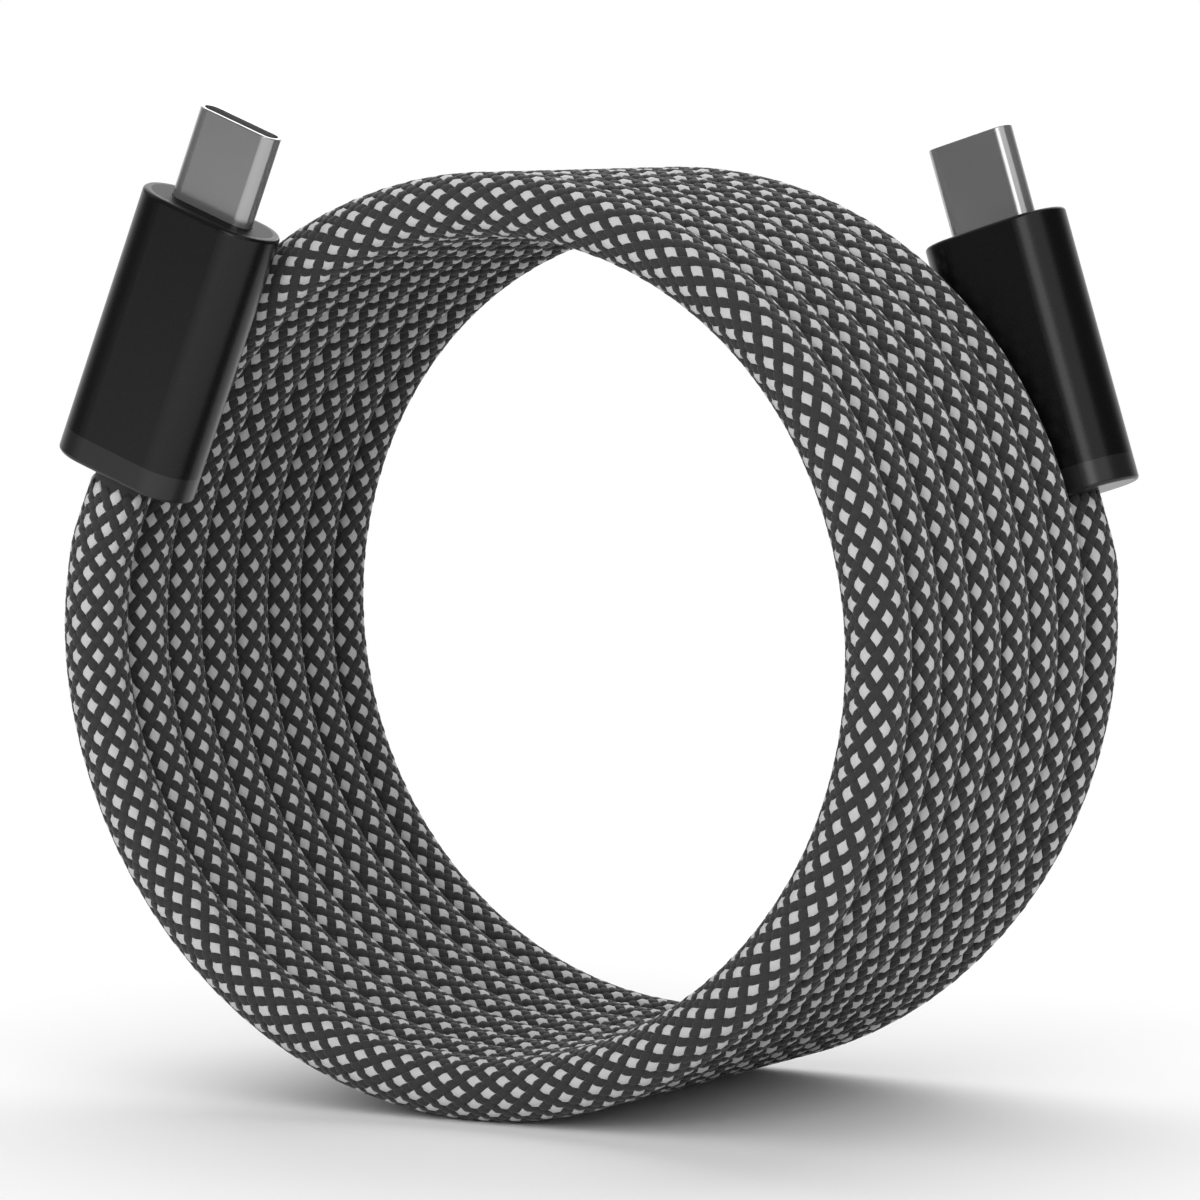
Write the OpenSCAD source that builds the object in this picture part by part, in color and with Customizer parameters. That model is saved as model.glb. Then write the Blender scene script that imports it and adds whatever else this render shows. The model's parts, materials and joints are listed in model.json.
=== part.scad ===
// Braided charging cable with a reversible plug on each end, wound into an upright coil of touching turns.
// Z is up, the coil's axis runs along Y, and the origin is the middle of the footprint on the floor.
// A plug is drawn in its own frame: Z along the plug from the cable exit to the tip, X its wide side.

/* [Cable] */
// Diameter of the braided cable
cable_d = 5.6; // [5:0.1:5.9]
// How far neighbouring turns press into each other's braid
braid_nest = 0.04; // [0:0.01:0.1]
// Thickness of the braid and its backing sleeve round the inner jacket
braid_t = 0.7; // [0.6:0.05:0.9]
// Mean radius of the turns
coil_r = 38.6; // [32:0.5:50]
// Times that the cable passes each side of the coil
passes = 8; // [4:1:12]

/* [Cable ends] */
// Angle above the horizontal at which the front end leaves the coil
front_rise = 22.4; // [15:0.2:28]
// Angle above the horizontal at which the back end leaves the coil
back_rise = 18; // [15:0.2:28]
// How far the front plug sits inside the radius of the turns
front_inset = 0.9; // [0:0.1:1.5]
// How far the back plug sits inside the radius of the turns
back_inset = 0.15; // [0:0.05:1.5]
// Turn of each plug about its own axis
plug_roll = 3.5; // [0:0.5:5]
// Space between each plug and the turn beside it
plug_gap = 0.36; // [0.3:0.02:0.8]
// Arc over which an end eases sideways to its plug
side_ease = 75; // [50:5:90]
// Arc over which an end eases inwards to its plug
inward_ease = 30; // [20:2:40]

/* [Plug housing] */
// Width of the housing
body_w = 13.6; // [13.2:0.1:16]
// Thickness of the housing
body_t = 7.2; // [7:0.1:8.4]
// Length of the metal sleeve
sleeve_l = 23; // [22:0.5:30]
// Wall of the metal sleeve
sleeve_wall = 0.7; // [0.5:0.05:0.75]
// Length of the tail cap outside the sleeve
cap_l = 2.4; // [2:0.1:4]
// Length of the cap's spigot inside the sleeve
spigot_l = 1.8; // [1.2:0.1:2]
// Rounding of the outer edges
edge_r = 0.35; // [0.1:0.05:0.5]
// Thickness of the nose plate
nose_l = 1.3; // [0.8:0.1:2]
// How far the nose plate stands back from the sleeve's rim
nose_set = 0.1; // [0.05:0.05:0.3]

/* [Connector] */
// Width of the steel shell
shell_w = 8.25; // [8.2:0.01:8.3]
// Thickness of the steel shell
shell_t = 2.4; // [2.36:0.01:2.44]
// Wall of the steel shell
shell_wall = 0.3; // [0.25:0.01:0.32]
// Length of the shell outside the housing
shell_out = 8.5; // [6.65:0.05:9]
// Length of the shell behind the nose plate
shell_in = 6; // [5:0.5:7]
// Rounding of the shell's mouth
mouth_r = 0.12; // [0.05:0.01:0.14]
// Wall of the contact carrier on each side of the cavity for the socket's tongue
carrier_side = 0.375; // [0.36:0.005:0.42]
// Height of the cavity for the socket's tongue
tongue_t = 0.95; // [0.9:0.01:1]
// Depth of the cavity from the mouth
tongue_depth = 6.4; // [6:0.1:7]
// How far the contact carrier stands back from the mouth
carrier_set = 0.5; // [0.2:0.05:0.6]

/* [Contacts and springs] */
// Contacts in each row
contact_count = 12; // [4:2:12]
// Spacing of the contacts
contact_pitch = 0.5; // [0.45:0.01:0.52]
// Width of a contact
contact_w = 0.25; // [0.2:0.01:0.27]
// Thickness of a contact
contact_t = 0.15; // [0.1:0.01:0.16]
// How far a contact's bump stands into the cavity
contact_bump = 0.18; // [0.1:0.01:0.25]
// Thickness of the latch frame
latch_t = 0.2; // [0.1:0.01:0.22]
// Width of a latch arm
latch_arm = 0.22; // [0.15:0.01:0.24]
// Thickness of a ground spring
spring_t = 0.1; // [0.08:0.01:0.12]
// Length of a ground spring
spring_l = 2.2; // [1.5:0.1:3]

/* [Circuit card] */
// Thickness of the circuit card
card_t = 0.8; // [0.7:0.05:0.85]
// Free length of the wires between the cable's jacket and the card
wire_l = 1.2; // [0.8:0.1:2]
// Length of the card's tongue between the contact tails
card_tongue = 1.6; // [1.2:0.1:2]
// Side of the marker chip
chip_w = 2.5; // [2:0.1:3]
// Height of the marker chip
chip_h = 0.6; // [0.4:0.05:0.8]
// Length of a capacitor
cap_chip_l = 1; // [0.6:0.1:1.2]

/* [Shielding and cable end] */
// Wall of the moulding between the sleeve and the shield
mold_wall = 0.3; // [0.25:0.01:0.35]
// Sheet thickness of the shield cans
can_wall = 0.25; // [0.2:0.01:0.3]
// Gap between the crimp ring and the shield
crimp_gap = 1.25; // [0.5:0.05:1.5]
// Wall of the crimp ring
crimp_wall = 0.3; // [0.2:0.01:0.32]
// Length of the crimp ring
crimp_l = 3; // [2:0.1:3.2]
// Diameter of the power and ground wires
power_d = 1.2; // [1:0.05:1.3]
// Diameter of the signal wires
signal_d = 0.7; // [0.5:0.05:0.75]

/* [Hidden] */
$fn = 48;
over = 1;          // how far a cutting tool runs past what it cuts

// Clearances
fit = 0.05;        // gap on each side between pieces that slide together
slot_fit = 0.025;  // gap on each side of a contact or plate in its slot
card_side = 0.2;   // gap on each side of the card in the shield
wire_gap = 0.3;    // gap between neighbouring wires
chip_gap = 0.65;   // gap between the chip and a capacitor

// Small lengths along a plug
seat_floor = 1;    // wall of the cap ahead of the braid's seat
crimp_floor = 0.3; // wall of the moulding behind the crimp ring
jacket_in = 0.4;   // reach of the cable's jacket into the shield
can_lap = 1.6;     // reach of the shield over the connector's shell
card_set = 0.55;   // gap between the card's shoulder and the shell
pad_l = 1.3;       // length of a wire's pad on the card
tail_set = 0.2;    // distance from the card's shoulder to a contact's tail
latch_set = 0.8;   // distance from the carrier's back to the latch frame
plate_wall = 0.2;  // wall between the latch frame's plate and the cavity
bump_set = 2.6;    // distance from the tip to the contacts' bumps
bend_l = 1.2;      // length of the bend behind a bump
bump_l = 0.8;      // length of a contact ahead of its bump
bump_room = 0.6;   // free length of a channel ahead of its contact
crimp_round = 0.3; // how far the crimp's corners stand past its flats, across both

// Coil
turn_pitch = cable_d - braid_nest;
ring_step = 15;    // 24 rings to a turn
sides = 6;
helix_lead = atan(turn_pitch / (2 * PI * coil_r));
front_angle = 180 - front_rise;
back_angle = 360 * passes + back_rise;
end_arc = atan(1.4 * cable_d / coil_r);  // a straight end and the bend into it
first_ring = ring_step * (ceil((front_angle + end_arc) / ring_step - 0.5) + 0.5);
last_ring = ring_step * (floor((back_angle - end_arc) / ring_step - 0.5) + 0.5);
half_span = turn_pitch * (back_angle - front_angle) / 720;
side_shift = body_t / 2 + cable_d / 2 - turn_pitch + plug_gap;
foot_cut = cable_d / 10;
coil_z = coil_r + cable_d / 2 - foot_cut;
front_exit_r = coil_r - front_inset;
back_exit_r = coil_r - back_inset;
// Widest reach of the turns on one side, and of the back plug's rounded tail on the other
coil_reach = coil_r + cable_d / 2 * cos(ring_step / 2);
tail_half = (body_w - body_t) / 2 * cos(plug_roll) + body_t / 2;
tail_reach = (tail_half - edge_r) * cos(back_rise) + edge_r * (1 - sin(back_rise));
coil_x = (coil_reach - back_exit_r * cos(back_rise) - tail_reach) / 2;

// Stations along a plug, from the cable exit
z_rim = cap_l + sleeve_l;
z_tip = z_rim + shell_out;
z_nose = z_rim - nose_set;
z_nose_back = z_nose - nose_l;
z_shell_back = z_nose_back - shell_in;
z_card_step = z_shell_back - card_set;
z_card_front = z_card_step + card_tongue;
z_carrier_back = z_card_front + fit;
z_carrier = z_tip - carrier_set;
z_cavity = z_tip - tongue_depth;
z_latch_back = z_carrier_back + latch_set;
z_bump = z_tip - bump_set;
z_contact = z_bump + bump_l;
z_seat = cap_l - seat_floor;
z_mold_back = cap_l + spigot_l + fit;
z_crimp = z_mold_back + crimp_floor;
z_can_back = z_crimp + crimp_l + crimp_gap;
z_can = z_shell_back + can_lap;
can_l = z_can - z_can_back;
z_cable_end = z_can_back + can_wall + jacket_in;
z_card_back = z_cable_end + wire_l;
card_l = z_card_step - z_card_back;
z_chip = (z_card_back + pad_l + z_card_step - chip_w) / 2;

// Widths and heights that follow from the pieces round them
inner_w = body_w - 2 * sleeve_wall;
inner_t = body_t - 2 * sleeve_wall;
mold_w = inner_w - 2 * fit;
mold_t = inner_t - 2 * fit;
can_w = mold_w - 2 * mold_wall;
can_t = mold_t - 2 * mold_wall;
core_d = cable_d - 2 * braid_t;
crimp_d = core_d + 2 * crimp_wall + crimp_round;
carrier_w = shell_w - 2 * (shell_wall + fit);
carrier_t = shell_t - 2 * (shell_wall + fit);
tongue_w = carrier_w - 2 * carrier_side;
card_w = can_w - 2 * (can_wall + card_side);
card_tongue_w = contact_count * contact_pitch + contact_w;
contact_in = card_t / 2;
contact_out = contact_in + contact_t;
latch_out = tongue_w / 2 + slot_fit + latch_arm;
spring_w = carrier_w - carrier_t;
cap_chip_w = cap_chip_l / 2;
power_x = (power_d + wire_gap) / 2;
signal_x = signal_d + wire_gap;

// --- The path of the cable: ring centres with their outward and sideways directions ---

function radial(a) = [cos(a), 0, sin(a)];
function smooth(u) = 1 - 3 * pow(u, 2) + 2 * pow(u, 3);
function eased(turned, arc) = min(1, max(0, turned / arc));
function swing(a) = smooth(eased(back_angle - a, side_ease)) - smooth(eased(a - front_angle, side_ease));
function helix_y(a) = -half_span + turn_pitch * (a - front_angle) / 360 + side_shift * swing(a);
function inset(a) = front_inset * pow(1 - eased(a - front_angle, inward_ease), 2)
                  + back_inset * pow(1 - eased(back_angle - a, inward_ease), 2);
function helix_ring(a) = [(coil_r - inset(a)) / cos(ring_step / 2) * radial(a) + [0, helix_y(a), 0],
                          radial(a), [0, 1, 0]];

front_exit = front_exit_r * radial(front_angle) + [0, helix_y(front_angle), 0];
front_axis = [sin(front_rise) * cos(helix_lead), -sin(helix_lead), cos(front_rise) * cos(helix_lead)];
front_out = [-cos(front_rise), 0, sin(front_rise)];
front_side = cross(front_axis, -front_out);
back_exit = back_exit_r * radial(back_rise) + [0, helix_y(back_angle), 0];
back_axis = [-sin(back_rise) * cos(helix_lead), sin(helix_lead), cos(back_rise) * cos(helix_lead)];
back_out = [cos(back_rise), 0, sin(back_rise)];
back_side = cross(back_axis, back_out);

rings = concat(
  [[front_exit, front_out, front_side], [front_exit - cable_d * front_axis, front_out, front_side]],
  [for (a = [first_ring : ring_step : last_ring]) helix_ring(a)],
  [[back_exit - cable_d * back_axis, back_out, back_side], [back_exit, back_out, back_side]]
);

function ring_points(r, size, count) =
  [for (k = [0 : count - 1]) r[0] + size * (cos(360 * k / count) * r[1] + sin(360 * k / count) * r[2])];
// The mid-points of the sides, which face the neighbouring turns
function side_points(r) =
  [for (k = [0 : sides - 1]) r[0] + cable_d / 2 * cos(180 / sides)
     * (cos(360 * (k + 0.5) / sides) * r[1] + sin(360 * (k + 0.5) / sides) * r[2])];
function measured(r) = concat(ring_points(r, cable_d / 2, sides), side_points(r));

// Least distance between the surface points of a ring and those of the rings about one turn on
ring_count = len(rings);
near_turn = 360 / ring_step;
near_span = 3;
gaps = [
  for (i = [0 : ring_count - 1])
    for (j = [i + near_turn - near_span : min(i + near_turn + near_span, ring_count - 1)])
      min([for (p = measured(rings[i])) for (q = measured(rings[j])) norm(p - q)])
];
echo(least_gap_between_turns = min(gaps));
cable_length = sum_lengths(0, 0);
function sum_lengths(i, total) = i >= ring_count - 1 ? total
  : sum_lengths(i + 1, total + norm(rings[i + 1][0] - rings[i][0]));
echo(cable_length_between_plugs = cable_length);

module cable_coil() {
  points = [for (r = rings) each ring_points(r, cable_d / 2, sides)];
  walls = [for (i = [0 : ring_count - 2]) for (k = [0 : sides - 1])
    let (a = i * sides + k, b = i * sides + (k + 1) % sides)
    each [[a, a + sides, b + sides], [a, b + sides, b]]];
  last = (ring_count - 1) * sides;
  ends = [for (k = [1 : sides - 2]) each [[0, k, k + 1], [last, last + k + 1, last + k]]];
  color("#3a3a3a") difference() {
    translate([coil_x, 0, coil_z]) polyhedron(points, concat(walls, ends));
    translate([-2 * coil_r, -2 * half_span - body_t, -coil_r])
      cube([4 * coil_r, 4 * half_span + 2 * body_t, coil_r]);
  }
}

// --- Where the plugs stand ---

module at_front() {
  translate([coil_x, 0, coil_z] + front_exit)
    rotate([0, front_rise, 0]) rotate([helix_lead, 0, 0]) rotate([0, 0, plug_roll]) children();
}

module at_back() {
  translate([coil_x, 0, coil_z] + back_exit)
    rotate([0, -back_rise, 0]) rotate([-helix_lead, 0, 0]) rotate([0, 0, plug_roll]) children();
}

// --- Shapes that repeat ---

module up(z) {
  translate([0, 0, z]) children();
}

// Straight bar with full round sides
module pill(w, t, l) {
  linear_extrude(l) {
    square([w - t, t], center = true);
    for (s = [-1, 1]) translate([s * (w - t) / 2, 0]) circle(d = t);
  }
}

// Half of the section of a bar, with the outer corners rounded at the bottom and the top
module rounded_half(t, l, r_low, r_high) {
  square([t / 2 - max(r_low, r_high), l]);
  translate([0, r_low]) square([t / 2, l - r_low - r_high]);
  if (r_low > 0) translate([t / 2 - r_low, r_low]) circle(r_low);
  if (r_high > 0) translate([t / 2 - r_high, l - r_high]) circle(r_high);
}

// The bar again, with its end edges rounded
module rounded_pill(w, t, l, r_low, r_high) {
  for (s = [-1, 1]) translate([s * (w - t) / 2, 0, 0]) rotate_extrude() rounded_half(t, l, r_low, r_high);
  rotate([90, 0, 90]) linear_extrude(w - t, center = true) {
    rounded_half(t, l, r_low, r_high);
    mirror([1, 0]) rounded_half(t, l, r_low, r_high);
  }
}

module box_on(w, t, l) {
  translate([-w / 2, -t / 2, 0]) cube([w, t, l]);
}

module for_contacts() {
  for (i = [0 : contact_count - 1])
    translate([(i - (contact_count - 1) / 2) * contact_pitch, 0, 0]) children();
}

// --- Housing ---

module housing_sleeve() {
  color("#232325") up(cap_l) difference() {
    rounded_pill(body_w, body_t, sleeve_l, 0, edge_r);
    up(-over) pill(inner_w, inner_t, sleeve_l + 2 * over);
  }
}

module tail_cap() {
  color("#343436") difference() {
    union() {
      rounded_pill(body_w, body_t, cap_l, edge_r, 0);
      up(cap_l) pill(mold_w, mold_t, spigot_l);
    }
    up(-over) cylinder(d = cable_d + 2 * fit, h = over + z_seat);
    up(-over) cylinder(d = core_d + 2 * fit, h = cap_l + spigot_l + 2 * over);
  }
}

module nose_plate() {
  color("#2c2c2e") up(z_nose_back) difference() {
    pill(mold_w, mold_t, nose_l);
    up(-over) pill(shell_w + 2 * slot_fit, shell_t + 2 * slot_fit, nose_l + 2 * over);
  }
}

// Moulding that grips the shield, the crimp ring and the connector inside the sleeve
module inner_mold() {
  color("#8f8f8a") difference() {
    up(z_mold_back) pill(mold_w, mold_t, z_nose_back - z_mold_back);
    up(z_can_back - slot_fit) pill(can_w + 2 * slot_fit, can_t + 2 * slot_fit, can_l + 2 * slot_fit);
    up(z_mold_back - over) cylinder(d = crimp_d + 2 * slot_fit, h = over + z_crimp + crimp_l - z_mold_back);
    up(z_mold_back - over) cylinder(d = core_d + 2 * fit, h = over + z_can_back - z_mold_back + fit);
    up(z_can - over) pill(shell_w + 2 * slot_fit, shell_t + 2 * slot_fit, z_nose_back - z_can + 2 * over);
  }
}

// --- Shielding and cable end ---

// Drawn can, one half above and one below the card
module shield_can() {
  difference() {
    up(z_can_back) pill(can_w, can_t, can_l);
    up(z_can_back + can_wall) pill(can_w - 2 * can_wall, can_t - 2 * can_wall, can_l - 2 * can_wall);
    up(z_can_back - over) cylinder(d = core_d + 2 * fit, h = can_wall + 2 * over);
    up(z_can - can_wall - over) pill(shell_w + 2 * slot_fit, shell_t + 2 * slot_fit, can_wall + 2 * over);
  }
}

module shield_upper() {
  color("#b9bcbf") intersection() {
    shield_can();
    translate([-body_w, 0, z_can_back - over]) cube([2 * body_w, body_t, can_l + 2 * over]);
  }
}

module shield_lower() {
  color("#a9acaf") intersection() {
    shield_can();
    translate([-body_w, -body_t, z_can_back - over]) cube([2 * body_w, body_t, can_l + 2 * over]);
  }
}

// Ring pressed to six flats over the inner jacket
module crimp_ring() {
  color("#c9b27a") up(z_crimp) difference() {
    intersection() {
      cylinder(d = crimp_d, h = crimp_l);
      cylinder(d = (core_d + 2 * crimp_wall) / cos(30), h = crimp_l, $fn = 6);
    }
    up(-over) cylinder(d = core_d + 2 * slot_fit, h = crimp_l + 2 * over);
  }
}

// Cable inside the plug: braided as far as the cap's seat, bare jacket from there on
module cable_end() {
  color("#4a4a4c") union() {
    cylinder(d = cable_d, h = z_seat);
    cylinder(d = core_d, h = z_cable_end);
  }
}

// Wire from the jacket's end to its pad, on the upper or the lower face of the card
module wire(x, face, d) {
  translate([x, face * (card_t / 2 + d / 2 + slot_fit), z_cable_end])
    cylinder(d = d, h = wire_l + pad_l);
}

module power_wire() {
  color("#b03030") wire(power_x, 1, power_d);
}

module ground_wire() {
  color("#202020") wire(-power_x, 1, power_d);
}

module signal_wires() {
  wire_colours = ["#3060b0", "#2f8f4f", "#e0e0e0"];
  for (i = [-1 : 1]) color(wire_colours[i + 1]) wire(i * signal_x, -1, signal_d);
}

// --- Card ---

module circuit_card() {
  color("#1f5a3c") {
    up(z_card_back) box_on(card_w, card_t, card_l);
    up(z_card_step) box_on(card_tongue_w, card_t, card_tongue);
  }
}

module marker_chip() {
  color("#1a1a1a") translate([0, (card_t + chip_h) / 2, z_chip])
    box_on(chip_w, chip_h, chip_w);
}

module capacitors() {
  cap_chip_x = (chip_w + cap_chip_w) / 2 + chip_gap;
  color("#a88a62") for (s = [-1, 1])
    translate([s * cap_chip_x, (card_t + cap_chip_w) / 2, z_chip])
      box_on(cap_chip_w, cap_chip_w, cap_chip_l);
}

// --- Connector ---

module connector_shell() {
  color("#8c8f92") up(z_shell_back) difference() {
    rounded_pill(shell_w, shell_t, z_tip - z_shell_back, 0, mouth_r);
    up(-over) pill(shell_w - 2 * shell_wall, shell_t - 2 * shell_wall, z_tip - z_shell_back + 2 * over);
  }
}

// Moulded lining of the shell, with the tongue's cavity, the contact channels and the latch slots
module contact_carrier() {
  channel_l = z_contact + bump_room - z_carrier_back;
  color("#1c1c1e") difference() {
    up(z_carrier_back) pill(carrier_w, carrier_t, z_carrier - z_carrier_back);
    up(z_cavity) box_on(tongue_w, tongue_t, tongue_depth);
    for (s = [0, 1]) mirror([0, s, 0]) {
      for_contacts() translate([-contact_w / 2 - slot_fit, contact_in - slot_fit, z_carrier_back - over])
        cube([contact_w + 2 * slot_fit, contact_t + 2 * slot_fit, channel_l + over]);
      translate([-spring_w / 2 - slot_fit, carrier_t / 2 - spring_t, z_carrier - spring_l - slot_fit])
        cube([spring_w + 2 * slot_fit, carrier_t, spring_l + over]);
    }
    up(z_latch_back - slot_fit)
      box_on(2 * (latch_out + slot_fit), latch_t + 2 * slot_fit, z_tip - z_latch_back);
  }
}

// Contact: tail on the card's pad, long beam, and a bump that presses on the tongue
module contact() {
  z_tail = z_card_step + tail_set;
  translate([-contact_w / 2, 0, 0]) rotate([90, 0, 90]) linear_extrude(contact_w) polygon([
    [contact_in, z_tail], [contact_in, z_bump - bend_l], [contact_in - contact_bump, z_bump],
    [contact_in, z_contact], [contact_out, z_contact],
    [contact_out - contact_bump, z_bump], [contact_out, z_bump - bend_l], [contact_out, z_tail]
  ]);
}

module upper_contacts() {
  color("#d9b65c") for_contacts() contact();
}

module lower_contacts() {
  color("#d9b65c") mirror([0, 1, 0]) for_contacts() contact();
}

// Ground plate between the rows, with an arm on each side that clicks into the socket
module latch_frame() {
  arm_x = latch_out - latch_arm;
  hook_x = latch_out - latch_arm / 2;
  color("#9a9da0") rotate([90, 0, 0]) linear_extrude(latch_t, center = true) {
    translate([-latch_out, z_latch_back]) square([2 * latch_out, z_cavity - plate_wall - z_latch_back]);
    for (s = [0, 1]) mirror([s, 0]) {
      translate([arm_x, z_latch_back]) square([latch_arm, z_contact - z_latch_back]);
      polygon([
        [arm_x - latch_arm, z_bump + bump_l / 2], [arm_x, z_bump],
        [hook_x, z_bump], [hook_x, z_contact], [arm_x, z_contact]
      ]);
    }
  }
}

module ground_springs() {
  color("#a7aaad") for (s = [0, 1]) mirror([0, s, 0])
    translate([-spring_w / 2, carrier_t / 2 - spring_t, z_carrier - spring_l])
      cube([spring_w, spring_t, spring_l]);
}

cable_coil();
at_front() housing_sleeve();  // housing_sleeve_a
at_front() tail_cap();  // tail_cap_a
at_front() nose_plate();  // nose_plate_a
at_front() inner_mold();  // inner_mold_a
at_front() shield_upper();  // shield_upper_a
at_front() shield_lower();  // shield_lower_a
at_front() crimp_ring();  // crimp_ring_a
at_front() cable_end();  // cable_end_a
at_front() power_wire();  // power_wire_a
at_front() ground_wire();  // ground_wire_a
at_front() signal_wires();  // signal_wires_a
at_front() circuit_card();  // circuit_card_a
at_front() marker_chip();  // marker_chip_a
at_front() capacitors();  // capacitors_a
at_front() connector_shell();  // connector_shell_a
at_front() contact_carrier();  // contact_carrier_a
at_front() upper_contacts();  // upper_contacts_a
at_front() lower_contacts();  // lower_contacts_a
at_front() latch_frame();  // latch_frame_a
at_front() ground_springs();  // ground_springs_a
at_back() housing_sleeve();  // housing_sleeve_b
at_back() tail_cap();  // tail_cap_b
at_back() nose_plate();  // nose_plate_b
at_back() inner_mold();  // inner_mold_b
at_back() shield_upper();  // shield_upper_b
at_back() shield_lower();  // shield_lower_b
at_back() crimp_ring();  // crimp_ring_b
at_back() cable_end();  // cable_end_b
at_back() power_wire();  // power_wire_b
at_back() ground_wire();  // ground_wire_b
at_back() signal_wires();  // signal_wires_b
at_back() circuit_card();  // circuit_card_b
at_back() marker_chip();  // marker_chip_b
at_back() capacitors();  // capacitors_b
at_back() connector_shell();  // connector_shell_b
at_back() contact_carrier();  // contact_carrier_b
at_back() upper_contacts();  // upper_contacts_b
at_back() lower_contacts();  // lower_contacts_b
at_back() latch_frame();  // latch_frame_b
at_back() ground_springs();  // ground_springs_b
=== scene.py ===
# %% [markdown]
# # A braided charging cable wound into an upright coil
# This lesson dresses one charging cable: a round core, a braid of dark and light yarns over it, and a slim
# metal-sleeved plug standing at each end. Every size is in metres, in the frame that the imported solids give.

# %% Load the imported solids
import json
import math

import bpy
import numpy as np
from mathutils import Matrix, Vector


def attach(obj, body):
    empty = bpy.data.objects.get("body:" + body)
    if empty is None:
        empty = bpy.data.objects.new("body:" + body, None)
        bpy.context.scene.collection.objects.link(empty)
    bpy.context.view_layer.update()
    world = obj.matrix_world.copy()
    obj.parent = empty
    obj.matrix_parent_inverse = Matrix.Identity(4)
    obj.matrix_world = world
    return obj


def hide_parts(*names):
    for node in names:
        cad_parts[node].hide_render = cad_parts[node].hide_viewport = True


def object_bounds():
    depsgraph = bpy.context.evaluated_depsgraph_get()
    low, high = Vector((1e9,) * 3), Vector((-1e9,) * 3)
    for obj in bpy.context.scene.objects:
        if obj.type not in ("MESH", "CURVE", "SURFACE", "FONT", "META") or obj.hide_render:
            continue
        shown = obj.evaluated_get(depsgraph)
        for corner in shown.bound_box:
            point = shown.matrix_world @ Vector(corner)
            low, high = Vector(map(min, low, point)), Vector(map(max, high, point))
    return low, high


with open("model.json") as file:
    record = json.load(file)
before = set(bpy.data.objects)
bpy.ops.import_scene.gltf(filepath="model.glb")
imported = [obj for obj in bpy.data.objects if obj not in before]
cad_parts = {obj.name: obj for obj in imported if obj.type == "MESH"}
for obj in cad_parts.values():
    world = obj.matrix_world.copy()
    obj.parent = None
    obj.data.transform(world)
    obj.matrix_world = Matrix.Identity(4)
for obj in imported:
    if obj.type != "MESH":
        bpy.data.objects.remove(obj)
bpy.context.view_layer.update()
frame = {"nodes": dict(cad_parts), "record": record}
nodes = frame["nodes"]
bpy.ops.object.select_all(action="DESELECT")
mm = 0.001

# %% [markdown]
# ## The camera
# A long lens far from the coil keeps the turns nearly parallel. The camera stands a third of a right angle
# round to the right and looks slightly down, so the turns show both their outside and their inside.
# Placing it by angle, distance and a point to look at is easier to check than by typed coordinates.

# %% Stand the camera
coil_r = 38.6 * mm
coil_middle = Vector((-0.78128, 0, 40.84)) * mm
camera_azimuth, camera_elevation, camera_distance = 30.06, 4.46, 615.1 * mm
aim_right, aim_up = 0.858, 2.92


def camera_axes(azimuth, elevation):
    """Directions from the coil to the camera, to the picture's right, and up the picture."""
    a, e = math.radians(azimuth), math.radians(elevation)
    back = Vector((math.sin(a) * math.cos(e), -math.cos(a) * math.cos(e), math.sin(e)))
    right = Vector((math.cos(a), math.sin(a), 0))
    return back, right, back.cross(right)


back, right, up = camera_axes(camera_azimuth, camera_elevation)
looked_at = coil_middle + (aim_right * right + aim_up * up) * mm
bpy.ops.object.camera_add(location=looked_at + camera_distance * back,
                          rotation=back.to_track_quat("Z", "Y").to_euler())
camera = bpy.context.object
camera.name = "camera"
camera.data.lens = 206.13
camera.data.sensor_width = 36
camera.data.clip_end = 20
bpy.context.scene.camera = camera
print("camera at", [round(v, 3) for v in camera.location])

# %% [markdown]
# ## The cable's route
# The cable leaves the front plug, runs round the coil a little over seven and a half times, and goes into the
# back plug. It could be drawn by hand as a curve. Here it is a formula, the one that winds the solids: a
# helix whose turns lie just under a cable's width apart, so that they press on each other, with both ends
# swung sideways so that the plugs clear the turns. Angles along it are in degrees.

# %% Wind the centre line
front_angle, back_angle = 157.6, 2898.0
turn_pitch = 5.56 * mm
side_shift = 1.2 * mm
end_arc = 75
front_inset, back_inset, inset_arc = 0.9 * mm, 0.15 * mm, 30
# Which way each plug points
front_axis = np.array([0.38097, -0.022919, 0.924303])
back_axis = np.array([-0.308936, 0.022919, 0.950807])
half_span = turn_pitch * (back_angle - front_angle) / 720


def eased(distance, reach):
    """How much of the reach this distance covers, from 0 to 1."""
    return np.clip(distance / reach, 0, 1)


def smooth(u):
    """A soft fall from 1 to 0 while u goes from 0 to 1."""
    return 1 - 3 * u**2 + 2 * u**3


def outward(angle):
    """Unit arrow from the coil's axis at this angle."""
    a = np.radians(angle)
    return np.stack([np.cos(a), 0 * a, np.sin(a)], -1)


def turns_centre(angle):
    """Middle of the cable at an angle along the winding."""
    swing = smooth(eased(back_angle - angle, end_arc)) - smooth(eased(angle - front_angle, end_arc))
    inset = (front_inset * (1 - eased(angle - front_angle, inset_arc)) ** 2
             + back_inset * (1 - eased(back_angle - angle, inset_arc)) ** 2)
    middle = (coil_r - inset)[..., None] * outward(angle) + np.array(coil_middle)
    middle[..., 1] += -half_span + turn_pitch * (angle - front_angle) / 360 + side_shift * swing
    return middle


# %% Straighten both ends and measure the line
straight, bend = 4 * mm, 6 * mm
in_cap = 1.2 * mm
line_points, cap_points = 32001, 12

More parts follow.
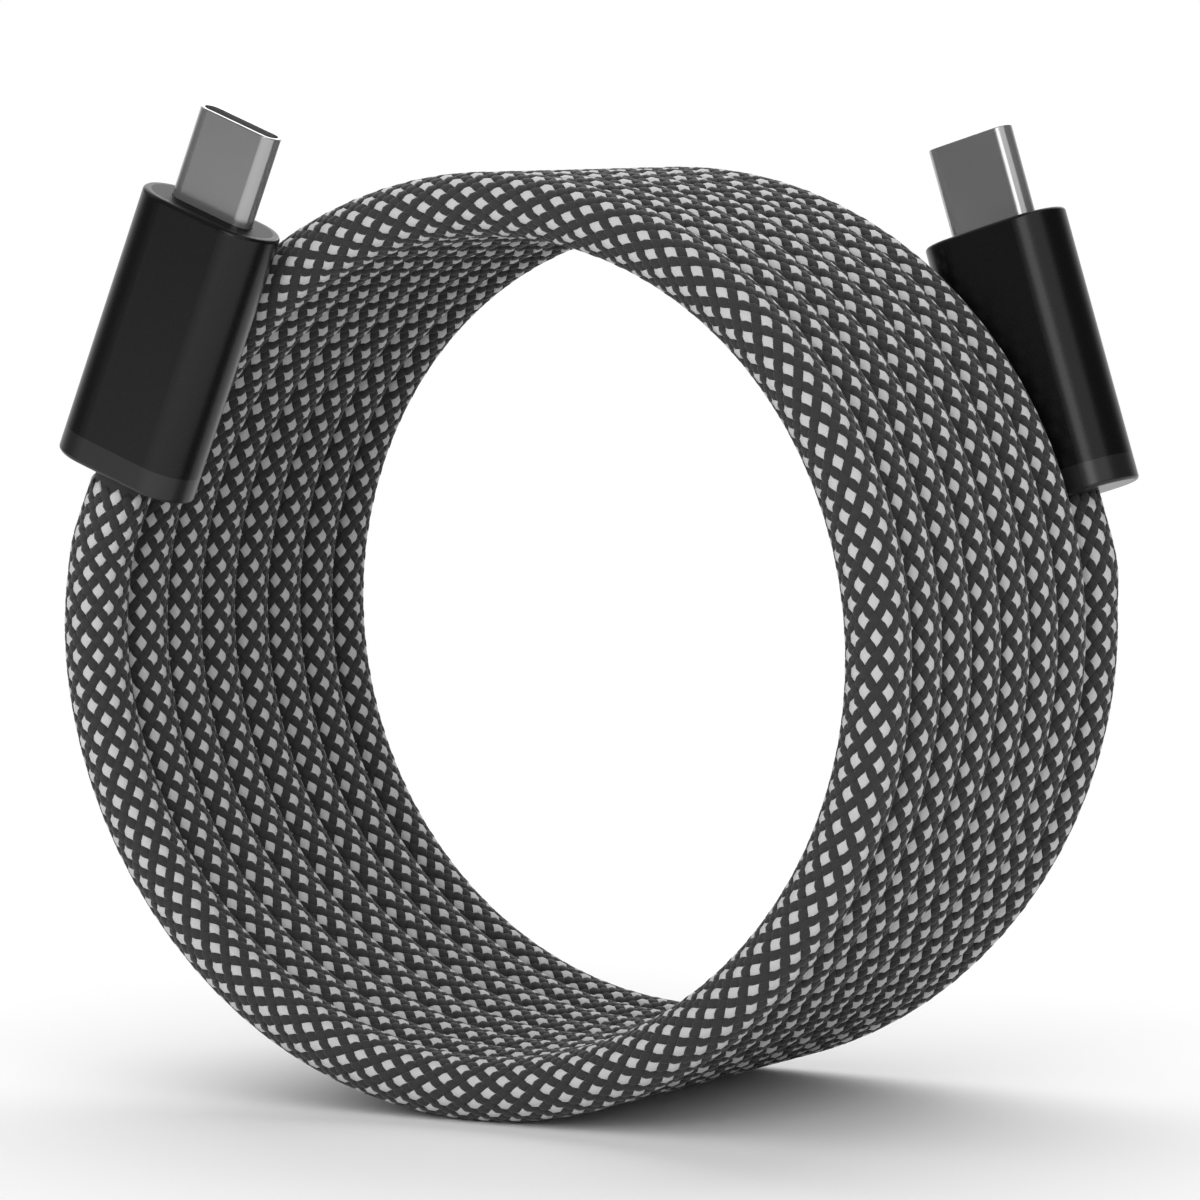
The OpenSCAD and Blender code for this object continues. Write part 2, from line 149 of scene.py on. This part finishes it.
winding = np.linspace(front_angle, back_angle, line_points)
line = turns_centre(winding)
for end, axis in ((0, front_axis), (-1, back_axis)):
    from_end = np.abs(winding - winding[end]) * math.pi / 180 * coil_r
    stiff = smooth(eased(from_end - straight, bend))[:, None]
    line = stiff * (line[end] - from_end[:, None] * axis) + (1 - stiff) * line
front_exit, back_exit = line[0], line[-1]
stub = np.linspace(in_cap, 0, cap_points, endpoint=False)[:, None]
line = np.concatenate([front_exit + stub * front_axis, line, back_exit + stub[::-1] * back_axis])
winding = np.concatenate([np.full(cap_points, front_angle), winding, np.full(cap_points, back_angle)])
run = np.concatenate([[0], np.cumsum(np.linalg.norm(np.diff(line, axis=0), axis=1))]) - in_cap
cable_length = run[-1] - in_cap
print("cable between the plugs:", round(cable_length, 4), "m")

# %% Find places on the line
probe = 0.05 * mm


def line_at(distance):
    """Middle of the cable at a distance from the front plug."""
    return np.stack([np.interp(distance, run, line[:, i]) for i in range(3)], -1)


def on_line(distance):
    """Middle of the cable at a distance, with its outward and sideways arrows."""
    forward = line_at(distance + probe) - line_at(distance - probe)
    forward /= np.linalg.norm(forward, axis=-1, keepdims=True)
    out = outward(np.interp(distance, run, winding))
    out -= (out * forward).sum(-1, keepdims=True) * forward
    out /= np.linalg.norm(out, axis=-1, keepdims=True)
    return line_at(distance), out, np.cross(forward, out)


# %% [markdown]
# ## The cable's core
# Under the braid lies a round jacket. A smooth tube closed at both ends is enough for it, because it only
# shows dark in the pits between the yarns and in a thin ring beside the front plug, where the braid starts.

# %% Make a piece from points and faces
def woven_piece(name, points, faces, lay, shade_round):
    """A mesh from points, faces, a map called 'lay' and a yes or no for each face that shades round."""
    mesh = bpy.data.meshes.new(name)
    mesh.from_pydata(points, [], faces)
    mesh.uv_layers.new(name="lay").data.foreach_set("uv", lay.astype(np.float32).ravel())
    mesh.polygons.foreach_set("use_smooth", shade_round)
    mesh.update()
    piece = bpy.data.objects.new(name, mesh)
    bpy.context.scene.collection.objects.link(piece)
    return piece


# %% Make the core
core_r = 2.6 * mm
core_sides = 24
core_rings = 1201

distance = np.linspace(run[0], run[-1], core_rings)
middle, out, across = on_line(distance)
turn = np.linspace(0, 2 * math.pi, core_sides, endpoint=False)[:, None]
points = middle[:, None] + core_r * (np.cos(turn) * out[:, None] + np.sin(turn) * across[:, None])
points = points.reshape(-1, 3)
start, side = (a.ravel() for a in np.meshgrid(np.arange(core_rings - 1) * core_sides, np.arange(core_sides),
                                              indexing="ij"))
after = (side + 1) % core_sides
onward = start + core_sides
faces = np.stack([start + side, start + after, onward + after, onward + side], -1).tolist()
walls = len(faces)
last_ring = len(points) - core_sides
faces += [list(range(core_sides - 1, -1, -1)), list(range(last_ring, len(points)))]
# So little of the core shows that its map is simply its X and Z
lay = points[np.concatenate(faces)][:, [0, 2]] / mm
cable_core = woven_piece("cable_core", points, faces, lay, [True] * walls + [False] * 2)
print("core faces:", len(cable_core.data.polygons))

# %% [markdown]
# ## The braid
# Sixteen flat yarns wind one way and sixteen the other, and each goes over one and under the next. Every
# second yarn of one way is light, the others are dark, so a light stitch shows wherever a light yarn lies on
# top. Only the stitches on top can be seen, so only they are modelled. A stitch is a low pad, nearly level on
# top and at the middle of its edges, whose corners dive into the pits where four stitches meet. Light yarns
# are a little wider, and the dark yarns that tie them down ride a little higher, like ribs. Painting the
# pattern on a smooth tube would be far lighter, but it would stay flat where the cable turns away from the
# eye. The braid twists by some degrees and slips by a millimetre just behind the front plug, as a real one
# does where it is clamped.

# %% Settle the lay of the braid
lattice = 2.963 * mm
rows_per_lattice = 4
yarns_one_way = 16
# Rows left off where the braid goes into each plug
front_rows, back_rows = 2, 1
top_r = 2.83 * mm
light_swell = 1.17
# The angle along the winding, and by how many degrees or millimetres the braid has twisted or slipped there
twist_at = ([157.6, 164, 172, 180, 188, 196, 205, 215, 225, 240, 255, 275, 305, 335],
            [-2.0, -6.1, -11.7, -13.7, -12.6, -10.1, -6.9, -3.8, -1.6, -0.5, 0.2, 0.95, 1.8, 2.45])
slip_at = ([157.6, 172, 180, 205, 245, 285], [0.2, 0.28, 0.53, 0.74, 0.95, 1.07])
# How far a stitch's surface sinks at its seams and pits or rises on a rib, and how a seam grows to its edge
seam_depth = 0.03 * mm
pit_depth = 0.195 * mm
rib_rise = 0.03 * mm
seam_at = ([0, 0.75, 1.04], [0, 0.15, 1])
pit_reach = 1.1
# Where its points lie along and across it, in halves of its length and width, and those halves for its map
along = np.array([-1.12, -0.75, 0, 0.75, 1.12])
aside = np.array([-1.04, -0.75, 0, 0.75, 1.04])
half_length, half_width = 0.455 * mm, 0.43 * mm


def lay_phase(distance, angle):
    """How many lattice lengths of the braid lie before this place."""
    return (distance - np.interp(angle, *slip_at) * mm) / lattice


# %% Place every stitch
settling_rounds = 4

rows = np.arange(front_rows, int(rows_per_lattice * lay_phase(run[-1], back_angle)) - back_rows)
row_s = rows * lattice / rows_per_lattice
# The slip depends on the place that it shifts, so the places are settled in a few rounds
for _ in range(settling_rounds):
    row_s += rows * lattice / rows_per_lattice - lay_phase(row_s, np.interp(row_s, run, winding)) * lattice
stitch_row, yarn = (a.ravel() for a in np.meshgrid(np.arange(len(rows)), np.arange(yarns_one_way),
                                                   indexing="ij"))
step = 2 * yarn + rows[stitch_row] % 2
stitch_s = row_s[stitch_row]
stitch_turn = step * 180 / yarns_one_way + np.interp(np.interp(stitch_s, run, winding), *twist_at)
crosses = rows[stitch_row] % 2 == 1
even = (rows[stitch_row] + step) // 2 % 2 == 0
light = even & ~crosses
ribs = crosses & ~even


# %% Make pieces of stitches
def stitches(name, chosen, swell=1.0):
    """One piece from the chosen stitches, each swollen this much to every side."""
    wide, high = len(aside), len(along)
    u, v = (a.ravel() for a in np.meshgrid(along, aside, indexing="ij"))
    seam = sum(np.interp(np.abs(w), *seam_at) for w in (u, v))
    pit = (np.clip(swell * np.abs(u), 0, pit_reach) * np.clip(swell * np.abs(v), 0, pit_reach)) ** 2
    s, angle, way = stitch_s[chosen, None], stitch_turn[chosen, None], np.where(crosses[chosen, None], -1, 1)
    # A stitch lies askew, so a step along it or across it goes both along the cable and round it
    points_s = (s + swell * lattice * (u + v) / (2 * rows_per_lattice)).ravel()
    turn = np.radians(angle + way * swell * 180 / yarns_one_way * (u - v) / 2).ravel()
    r = (top_r - seam_depth * seam - pit_depth * pit + rib_rise * ribs[chosen, None] * (1 - u**2)).ravel()
    middle, out, across = on_line(points_s)
    points = middle + (r * np.cos(turn))[:, None] * out + (r * np.sin(turn))[:, None] * across
    one = [[i * wide + j, (i + 1) * wide + j, (i + 1) * wide + j + 1, i * wide + j + 1]
           for i in range(high - 1) for j in range(wide - 1)]
    # One face round the rim closes the underside
    grid = np.arange(high * wide).reshape(high, wide)
    one.append([*grid[0], *grid[1:, -1], *grid[-1, -2::-1], *grid[-2:0:-1, 0]])
    # The yarns of the other way are mirror images, so their faces are read backwards to point outwards
    faces = [[k + i * len(u) for k in face[::w]] for i, w in enumerate(way.ravel()) for face in one]
    lay_s, lay_round = s + half_length * u, np.radians(angle) * core_r + half_width * v
    lay = np.stack([lay_s.ravel(), lay_round.ravel()], -1)[np.concatenate(faces)] / mm
    shade_round = ([True] * (len(one) - 1) + [False]) * len(s)
    return woven_piece(name, points, faces, lay, shade_round)


dark_pieces, light_pieces = 8, 3
dark_cuts = np.array_split(np.flatnonzero(~light), dark_pieces)
light_cuts = np.array_split(np.flatnonzero(light), light_pieces)
dark_yarns = [stitches(f"dark_yarns_{i + 1}", chosen) for i, chosen in enumerate(dark_cuts)]
light_yarns = [stitches(f"light_yarns_{i + 1}", chosen, light_swell) for i, chosen in enumerate(light_cuts)]
print("stitches:", len(stitch_s), "light ones:", int(light.sum()))

# %% [markdown]
# ## Nose plates
# A plate closes the sleeve's mouth round the connector's shell. On the finished plug its face is pressed in
# flush with the rim, so no groove shows. A plate is a round disc pulled apart into a bar with round ends, and
# a smaller bar of the same kind cuts the slot for the shell.

# %% Settle the plug's sizes
sleeve_inner = np.array([12.2, 5.8]) * mm
shell_outer = np.array([8.25, 2.4]) * mm
rim_z, nose_back_z = 25.4 * mm, 24.0 * mm
press, slot_gap = 0.02 * mm, 0.05 * mm
cut_past = 1 * mm
round_sides = 64
off_middle = 0.01 * mm
# The face stands a hair proud of the rim, so that the two surfaces never fight for a pixel
face_z = rim_z + press / 4
front_rise, back_rise, helix_lead, plug_roll = (math.radians(a) for a in (22.4, 18, 1.313, 3.5))


def plug_place(exit_point, rise, lead):
    """Where a plug stands: its own frame has the cable's way out at the origin and the plug along +Z."""
    return (Matrix.Translation(exit_point) @ Matrix.Rotation(rise, 4, "Y") @ Matrix.Rotation(lead, 4, "X")
            @ Matrix.Rotation(plug_roll, 4, "Z"))


# %% Model a bar with round ends
def round_bar(name, width, thickness, low, high):
    """A bar with full round ends, standing from low to high."""
    bpy.ops.object.select_all(action="DESELECT")
    bpy.ops.mesh.primitive_cylinder_add(vertices=round_sides, radius=thickness / 2, depth=high - low,
                                        location=(0, 0, (low + high) / 2))
    bar = bpy.context.object
    bar.name = name
    bpy.ops.object.transform_apply(location=True, rotation=True, scale=True)
    for side in (-1, 1):
        bpy.ops.object.mode_set(mode="EDIT")
        bpy.ops.mesh.select_all(action="DESELECT")
        bpy.ops.object.mode_set(mode="OBJECT")
        for corner in bar.data.vertices:
            corner.select = corner.co.x * side > off_middle
        bpy.ops.object.mode_set(mode="EDIT")
        bpy.ops.mesh.select_mode(type="VERT")
        bpy.ops.transform.translate(value=(side * (width - thickness) / 2, 0, 0))
        bpy.ops.object.mode_set(mode="OBJECT")
    return bar


# %% Cut the slot and stand the plates in place
def nose_plate(name, stand):
    """A plate with its slot, modelled upright and then stood where its plug stands."""
    plate = round_bar(name, *(sleeve_inner + press), nose_back_z, face_z)
    slot = round_bar("slot_cutter", *(shell_outer + 2 * slot_gap), nose_back_z - cut_past, rim_z + cut_past)
    bpy.ops.object.select_all(action="DESELECT")
    bpy.context.view_layer.objects.active = plate
    cut = plate.modifiers.new("slot", "BOOLEAN")
    cut.object, cut.operation, cut.solver = slot, "DIFFERENCE", "EXACT"
    bpy.ops.object.modifier_apply(modifier=cut.name)
    bpy.data.objects.remove(slot)
    plate.matrix_world = stand
    plate.select_set(True)
    bpy.ops.object.transform_apply(location=True, rotation=True, scale=True)
    return plate


noses = {"a": nose_plate("nose_face_a", plug_place(front_exit, front_rise, helix_lead)),
         "b": nose_plate("nose_face_b", plug_place(back_exit, -back_rise, -helix_lead))}
print("nose plates:", [len(piece.data.polygons) for piece in noses.values()])

# %% [markdown]
# ## Finishes
# A finish is a small graph of shader nodes. Wrapping a socket lets plain sums build that graph, which reads
# better than a list of links.

# %% Sums on sockets
class Value:
    """A node's output. Sums on it add Math nodes to its graph."""

    def __init__(self, graph, socket):
        self.graph, self.socket = graph, socket

    def sum(self, kind, first, second=0.0):
        """The result of a Math node of this kind."""
        return self.graph.node("ShaderNodeMath", {"operation": kind}, {0: first, 1: second})

    def __add__(self, other):
        return self.sum("ADD", self, other)

    def __radd__(self, other):
        return self.sum("ADD", other, self)

    def __sub__(self, other):
        return self.sum("SUBTRACT", self, other)

    def __rsub__(self, other):
        return self.sum("SUBTRACT", other, self)

    def __mul__(self, other):
        return self.sum("MULTIPLY", self, other)

    def __rmul__(self, other):
        return self.sum("MULTIPLY", other, self)

    def sine(self):
        return self.sum("SINE", self)

    def size(self):
        return self.sum("ABSOLUTE", self)


# %% One graph of nodes
class Graph:
    """Nodes of a material or of the world."""

    def __init__(self, tree):
        self.tree = tree

    def feed(self, node, inputs):
        """Link or set the sockets of a node."""
        for key, value in inputs.items():
            socket = node.inputs[key]
            if isinstance(value, Value):
                self.tree.links.new(value.socket, socket)
            else:
                socket.default_value = value

    def node(self, kind, settings=None, inputs=None, output=0):
        """A node of this type: its settings first, then the values or links of its sockets."""
        made = self.tree.nodes.new(kind)
        for key, value in (settings or {}).items():
            setattr(made, key, value)
        self.feed(made, inputs or {})
        return Value(self, made.outputs[output])

    def ramp(self, value, low, high, at_low=0.0, at_high=1.0):
        """A soft climb from one number to another while the value goes from low to high."""
        stops = {"Value": value, "From Min": low, "From Max": high, "To Min": at_low, "To Max": at_high}
        return self.node("ShaderNodeMapRange", {"interpolation_type": "SMOOTHSTEP"}, stops)


# %% One finish
class Finish(Graph):
    """A material on the principled shader, with helpers for its nodes."""

    def __init__(self, name, **shader):
        self.material = bpy.data.materials.new(name)
        self.material.use_nodes = True
        super().__init__(self.material.node_tree)
        self.shader = self.tree.nodes["Principled BSDF"]
        self.feed(self.shader, {key.replace("_", " ").title(): value for key, value in shader.items()})

    def place(self):
        """Where a point lies in its object."""
        return self.node("ShaderNodeTexCoord", output="Object")

    def noise(self, where, scale):
        """A fine, even unevenness."""
        return self.node("ShaderNodeTexNoise", None,
                         {"Vector": where, "Scale": scale, "Detail": 3.0, "Roughness": 0.6}, "Fac")

    def blend(self, share, one, other):
        """A colour between two others."""
        colours = {"Factor": share, "A": one, "B": other}
        return self.node("ShaderNodeMix", {"data_type": "RGBA"}, colours, "Result")

    def bump(self, height, strength, distance):
        """Relief on the surface, from a height that varies."""
        relief = {"Height": height, "Strength": strength, "Distance": distance}
        self.feed(self.shader, {"Normal": self.node("ShaderNodeBump", None, relief)})


def grey(level):
    """Linear colour of a neutral grey, from its brightness on screen out of 255."""
    v = level / 255
    v = v / 12.92 if v <= 0.04045 else ((v + 0.055) / 1.055) ** 2.4
    return (v, v, v, 1)


# %% [markdown]
# ### Braided yarns
# A yarn is a flat bundle of matt fibres that lie along it, so its grain is a noise stretched along the map's
# first axis. Low ridges that run the same way, side by side, stand for the single threads. Dark and light
# yarns differ in colour alone.

# %% Yarn finishes
fibre_grain = (6.0, 12.0, 1.0)
thread_ridges = 4 * math.pi
fibre_share, ridge_share = 0.6, 0.4
relief_strength, relief_depth = 0.5, 0.01 * mm


def woven(name, dark, light):
    """A matt yarn whose fibres follow its map."""
    finish = Finish(name, roughness=0.85)
    finish.feed(finish.shader, {"Specular IOR Level": 0.25, "Sheen Weight": 0.15, "Sheen Roughness": 0.5})
    lay = finish.node("ShaderNodeUVMap", {"uv_map": "lay"})
    stretched = finish.node("ShaderNodeMapping", None, {"Vector": lay, "Scale": fibre_grain})
    fibres = finish.noise(stretched, 1.0)
    threads = finish.node("ShaderNodeSeparateXYZ", None, {"Vector": lay}, "Y")
    ridge = (threads * thread_ridges).sine().size()
    finish.feed(finish.shader, {"Base Color": finish.blend(fibres, dark, light)})
    finish.bump(fibre_share * fibres + ridge_share * ridge, relief_strength, relief_depth)
    return finish


dark_finish = woven("dark_yarn", grey(43), grey(57))
light_finish = woven("light_yarn", grey(173), grey(207))
for piece in [cable_core] + dark_yarns:
    piece.data.materials.append(dark_finish.material)
for piece in light_yarns:
    piece.data.materials.append(light_finish.material)

# %% [markdown]
# ### Metals and mouldings
# The sleeve is black anodised aluminium and the connector's shell drawn steel. Inside the plug lie stamped,
# gilded and moulded pieces. Each finish gets its small unevenness of colour and gloss from a noise on Object
# coordinates. The sleeve's end, cut after drawing, is duller than its sides. It is found by its normal, as
# only the end faces up.

# %% Plain finishes
uneven = 0.06
# How steeply a normal rises, from 0 to 1: a side's rises less than the first, an end's more than the second
side_faces, end_faces = 0.6, 0.85


def solid(name, dark, light, roughness, metallic=0.0, scale=400.0, gloss=0.5, dull_end=0.0):
    """A moulded, rolled or anodised surface with a fine grain, duller by dull_end where it faces up."""
    finish = Finish(name, metallic=metallic)
    grain = finish.noise(finish.place(), scale)
    dull = grain * uneven + (roughness - uneven / 2)
    if dull_end:
        normal = finish.node("ShaderNodeTexCoord", output="Normal")
        facing = finish.node("ShaderNodeSeparateXYZ", None, {"Vector": normal}, "Z")
        dull = dull + dull_end * finish.ramp(facing, side_faces, end_faces)
    finish.feed(finish.shader, {"Base Color": finish.blend(grain, dark, light), "Roughness": dull,
                                "Specular IOR Level": gloss})
    return finish


finishes = {
    "sleeve": solid("black_anodised", grey(8), grey(11), 0.28, scale=9000.0, gloss=0.34, dull_end=0.22),
    "cap": solid("black_cap", grey(24), grey(29), 0.3, scale=9000.0),
    "nose": solid("black_nose", grey(12), grey(16), 0.5, scale=4000.0, gloss=0.1),
    "moulding": solid("filler_moulding", grey(140), grey(150), 0.5),
    "shield": solid("tinned_shield", grey(180), grey(190), 0.35, 1.0),
    "crimp": solid("crimp_metal", (0.5, 0.42, 0.25, 1), (0.6, 0.5, 0.3, 1), 0.35, 1.0),
    "jacket": solid("inner_jacket", grey(60), grey(70), 0.6),
    "red_insulation": solid("red_insulation", (0.4, 0.03, 0.03, 1), (0.45, 0.05, 0.05, 1), 0.45),
    "black_insulation": solid("black_insulation", grey(24), grey(30), 0.45),
    "signal_insulation": solid("signal_insulation", (0.2, 0.35, 0.3, 1), (0.25, 0.4, 0.35, 1), 0.45),
    "card": solid("circuit_board", (0.01, 0.1, 0.05, 1), (0.02, 0.13, 0.06, 1), 0.3),
    "chip": solid("chip_package", grey(24), grey(30), 0.5),
    "capacitor": solid("capacitor_body", (0.36, 0.24, 0.12, 1), (0.42, 0.28, 0.14, 1), 0.4),
    "shell": solid("drawn_steel", grey(166), grey(172), 0.2, 0.75, scale=3000.0),
    "carrier": solid("contact_moulding", grey(24), grey(30), 0.4),
    "contacts": solid("gold_contacts", (0.8, 0.55, 0.2, 1), (0.9, 0.62, 0.25, 1), 0.25, 1.0),
    "latch": solid("stamped_latch", grey(150), grey(160), 0.35, 1.0),
}

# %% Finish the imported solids
for part in frame["record"]["subparts"]:
    piece = nodes[part["node"]]
    if part["material_slot"] in finishes:
        piece.data.materials.clear()
        piece.data.materials.append(finishes[part["material_slot"]].material)
for piece in noses.values():
    piece.data.materials.append(finishes["nose"].material)
print("finishes:", len(finishes))

# %% [markdown]
# ## Floor and light
# The coil stands on a pale floor under soft boxes, the largest of them behind it, so that its shadow falls
# forwards. The floor keeps that shadow near the cable, and turns into plain white further away for the camera
# alone, so the object's light doesn't change. The room is white for the camera too. For reflections it is
# dark with one pale wall behind the coil, which gives the metal its bright edges, and for all else it is an
# even half light. A room with three faces can't be sampled as a lamp, so its sampling is off and each ray
# asks it directly.

# %% Lay the floor
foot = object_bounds()[0][2]
floor_size = 1.2
fade_start, fade_end = 0.04, 0.24

bpy.ops.mesh.primitive_plane_add(size=floor_size, location=(0, 0, foot))
floor = bpy.context.object
floor.name = "floor"
paper = Finish("floor_paper", roughness=0.9)
paper.feed(paper.shader, {"Base Color": grey(240), "Specular IOR Level": 0.0})
reach = paper.node("ShaderNodeVectorMath", {"operation": "LENGTH"}, {0: paper.place()}, "Value")
fade = paper.ramp(reach, fade_start, fade_end)
seen = paper.node("ShaderNodeLightPath", output="Is Camera Ray")
white = paper.node("ShaderNodeEmission", None, {"Color": (1, 1, 1, 1), "Strength": 1.0})
lit = Value(paper, paper.shader.outputs[0])
mixed = paper.node("ShaderNodeMixShader", None, {0: fade * seen, 1: lit, 2: white})
paper.feed(paper.tree.nodes["Material Output"], {"Surface": mixed})
floor.data.materials.append(paper.material)
print("floor at", round(foot / mm, 3), "mm")

# %% Hang the lights
box_distance = 1.2


def soft_box(name, azimuth, elevation, size, power):
    """A flat lamp of this width and height that faces the coil."""
    away = camera_axes(azimuth, elevation)[0]
    bpy.ops.object.light_add(type="AREA", location=coil_middle + box_distance * away,
                             rotation=away.to_track_quat("Z", "Y").to_euler())
    lamp = bpy.context.object
    lamp.name = name
    lamp.data.shape = "RECTANGLE"
    lamp.data.size, lamp.data.size_y = size
    lamp.data.energy = power
    print(name, "at", [round(v, 2) for v in lamp.location])


soft_box("key_box", 206, 47, (1.3, 1.3), 12.5)
soft_box("front_box", 40, 40, (1.2, 1.2), 4.7)
soft_box("fill_box", -60, 40, (1.0, 1.0), 1.3)
soft_box("strip_box", 8, 14, (0.5, 0.7), 3.4)

# %% Light the room
# The pale wall starts a little past the coil's side and is full behind it
wall_start, wall_full = -0.2, -0.95
wall_dark, wall_light = 0.08, 1.0
half_light = 0.5

world = bpy.data.worlds.new("studio")
bpy.context.scene.world = world
world.use_nodes = True
world.cycles.sampling_method = "NONE"
room = Graph(world.node_tree)
rays = room.node("ShaderNodeLightPath").socket.node
camera_ray, glossy_ray = (Value(room, rays.outputs[name]) for name in ("Is Camera Ray", "Is Glossy Ray"))
ray = room.node("ShaderNodeTexCoord", output="Generated")
toward = room.node("ShaderNodeVectorMath", {"operation": "DOT_PRODUCT"}, {0: ray, 1: tuple(back)}, "Value")
wall = room.ramp(toward, wall_start, wall_full, wall_dark, wall_light)
strength = camera_ray + glossy_ray * wall + (1 - camera_ray - glossy_ray) * half_light
room.feed(world.node_tree.nodes["Background"], {"Color": (1, 1, 1, 1), "Strength": strength})
bpy.context.scene.view_settings.view_transform = "Standard"
print("nodes of the room:", len(world.node_tree.nodes))

# %% [markdown]
# ## Attach the pieces
# The pieces ride on the one body. The core stands for the coil's solid, which is hidden, and each modelled
# nose plate stands for the imported plate that it hides. The outer pieces of both plugs are gathered in a
# list.

for piece in [cable_core] + dark_yarns + light_yarns:
    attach(piece, "root")
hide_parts("cable_coil")
for end, piece in noses.items():
    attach(piece, "root")
    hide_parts(f"nose_plate_{end}")
plug_pieces = list(noses.values()) + [nodes[f"{name}_{end}"] for end in "ab"
                                      for name in ("housing_sleeve", "tail_cap", "connector_shell")]
dark_yarns + light_yarns + plug_pieces
print("outer pieces of the plugs:", len(plug_pieces))
